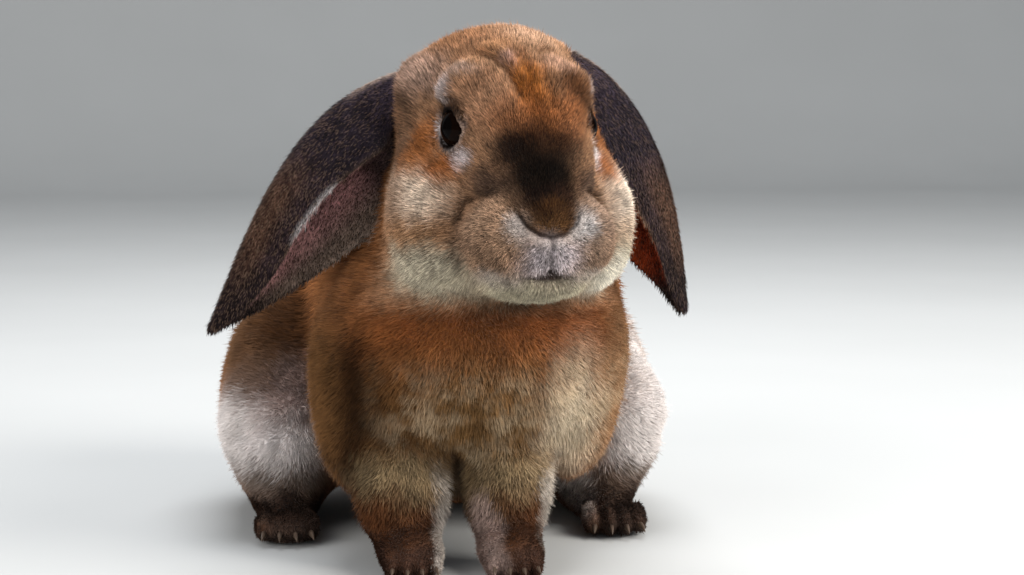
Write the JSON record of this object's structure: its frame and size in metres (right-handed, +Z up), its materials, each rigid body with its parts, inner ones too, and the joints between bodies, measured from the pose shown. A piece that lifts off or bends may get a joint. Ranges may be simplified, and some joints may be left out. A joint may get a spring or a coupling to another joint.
{
  "type": "rabbit",
  "caption": "Life-size still model of a sitting lop-eared rabbit with a short plush coat, its head up and turned a little to one side.",
  "frame": {"origin": "on the floor under the middle of the outline", "axes": "+Z up, the rabbit's nose towards -Y, its left side towards +X"},
  "size_m": [0.2066, 0.3288, 0.2213],
  "materials": {
    "coat_orange": "short plush fur, orange-brown with dark tips",
    "coat_cream": "short plush fur, cream",
    "coat_dark": "short plush fur, black-brown",
    "eye_brown": "wet and glossy",
    "claw_horn": "smooth horn"
  },
  "bodies": {
    "root": {"claw_forepaw_left_1": "claw_horn", "claw_forepaw_left_2": "claw_horn", "claw_forepaw_left_3": "claw_horn", "claw_forepaw_left_4": "claw_horn", "claw_forepaw_right_1": "claw_horn", "claw_forepaw_right_2": "claw_horn", "claw_forepaw_right_3": "claw_horn", "claw_forepaw_right_4": "claw_horn", "claw_hind_foot_left_1": "claw_horn", "claw_hind_foot_left_2": "claw_horn", "claw_hind_foot_left_3": "claw_horn", "claw_hind_foot_left_4": "claw_horn", "claw_hind_foot_right_1": "claw_horn", "claw_hind_foot_right_2": "claw_horn", "claw_hind_foot_right_3": "claw_horn", "claw_hind_foot_right_4": "claw_horn", "ear_left": "coat_dark", "ear_right": "coat_dark", "eye_left": "eye_brown", "eye_right": "eye_brown", "foreleg_left": "coat_orange", "foreleg_right": "coat_orange", "forepaw_left": "coat_dark", "forepaw_right": "coat_dark", "head": "coat_orange", "hind_foot_left": "coat_dark", "hind_foot_right": "coat_dark", "neck": "coat_orange", "tail": "coat_cream", "thigh_left": "coat_cream", "thigh_right": "coat_cream", "trunk": "coat_orange"}
  },
  "joints": []
}
